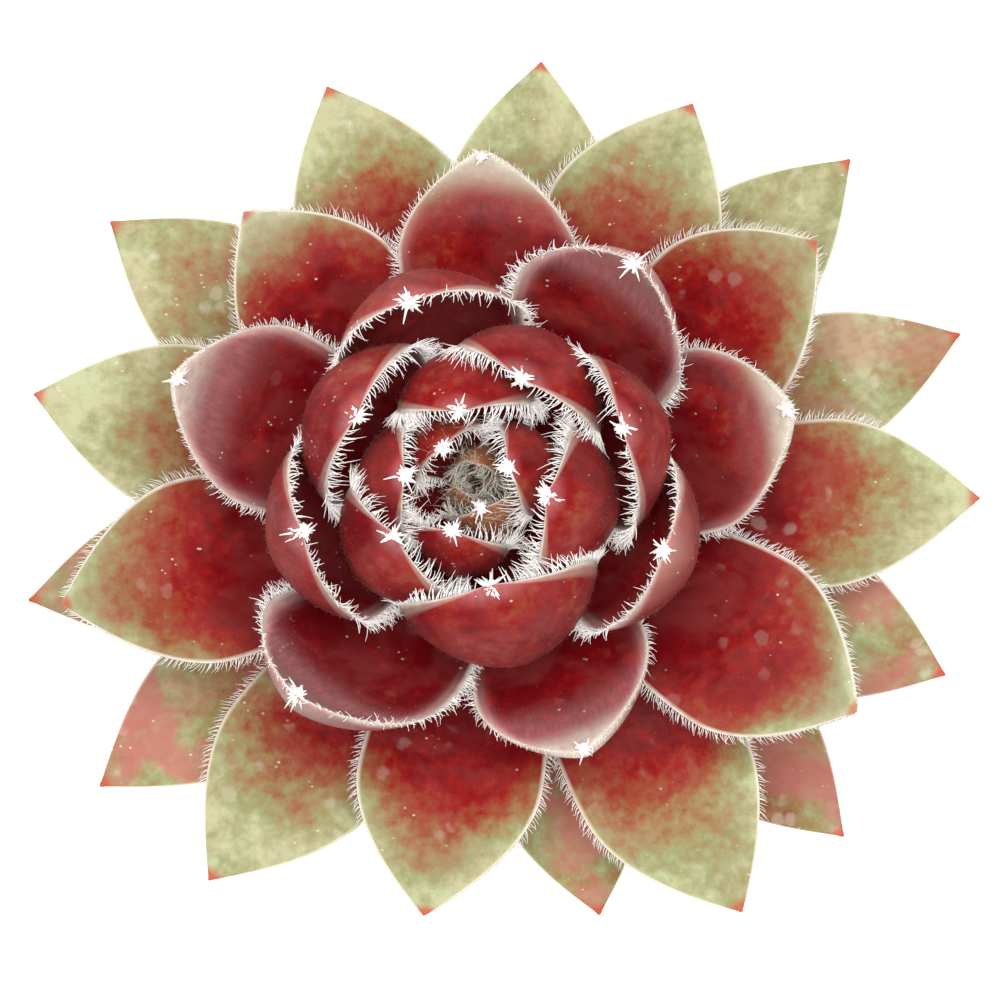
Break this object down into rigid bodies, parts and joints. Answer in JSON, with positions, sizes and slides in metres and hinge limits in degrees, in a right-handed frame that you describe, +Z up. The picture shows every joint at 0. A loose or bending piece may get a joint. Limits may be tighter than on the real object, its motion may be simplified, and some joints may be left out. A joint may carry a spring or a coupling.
{
  "type": "potted houseleek succulent",
  "caption": "Hairy-edged houseleek rosette, crimson at its heart and green at its skirt, growing in a small plain terracotta pot.",
  "frame": {"origin": "middle of the whole plant's footprint, about a millimetre from the pot's axis, on the surface that the pot stands on", "axes": "+Z up, parallel to the pot's axis, +Y towards the back of the rosette as drawn, +X to its right"},
  "size_m": [0.0824, 0.074, 0.0894],
  "materials": {
    "leaf_bud": "crimson living leaf with a fine white down",
    "leaf_inner": "red living leaf with a cream margin",
    "leaf_middle": "living leaf, red at its base and yellow green at its tip",
    "leaf_outer": "dull green living leaf with red blotches",
    "stem": "fibrous",
    "soil": "loose and granular",
    "terracotta": "unglazed fired clay"
  },
  "bodies": {
    "root": {"leaf_00": "leaf_bud", "leaf_01": "leaf_bud", "leaf_02": "leaf_bud", "leaf_03": "leaf_bud", "leaf_04": "leaf_bud", "leaf_05": "leaf_bud", "leaf_06": "leaf_bud", "leaf_07": "leaf_bud", "leaf_08": "leaf_bud", "leaf_09": "leaf_bud", "leaf_10": "leaf_bud", "leaf_11": "leaf_bud", "leaf_12": "leaf_bud", "leaf_13": "leaf_bud", "leaf_14": "leaf_bud", "leaf_15": "leaf_inner", "leaf_16": "leaf_inner", "leaf_17": "leaf_inner", "leaf_18": "leaf_inner", "leaf_19": "leaf_inner", "leaf_20": "leaf_inner", "leaf_21": "leaf_inner", "leaf_22": "leaf_inner", "leaf_23": "leaf_inner", "leaf_24": "leaf_inner", "leaf_25": "leaf_inner", "leaf_26": "leaf_middle", "leaf_27": "leaf_middle", "leaf_28": "leaf_middle", "leaf_29": "leaf_middle", "leaf_30": "leaf_middle", "leaf_31": "leaf_middle", "leaf_32": "leaf_middle", "leaf_33": "leaf_middle", "leaf_34": "leaf_middle", "leaf_35": "leaf_middle", "leaf_36": "leaf_outer", "leaf_37": "leaf_outer", "leaf_38": "leaf_outer", "leaf_39": "leaf_outer", "leaf_40": "leaf_outer", "leaf_41": "leaf_outer", "leaf_42": "leaf_outer", "leaf_43": "leaf_outer", "leaf_44": "leaf_outer", "leaf_45": "leaf_outer", "stem": "stem", "soil": "soil", "pot": "terracotta"}
  },
  "joints": []
}
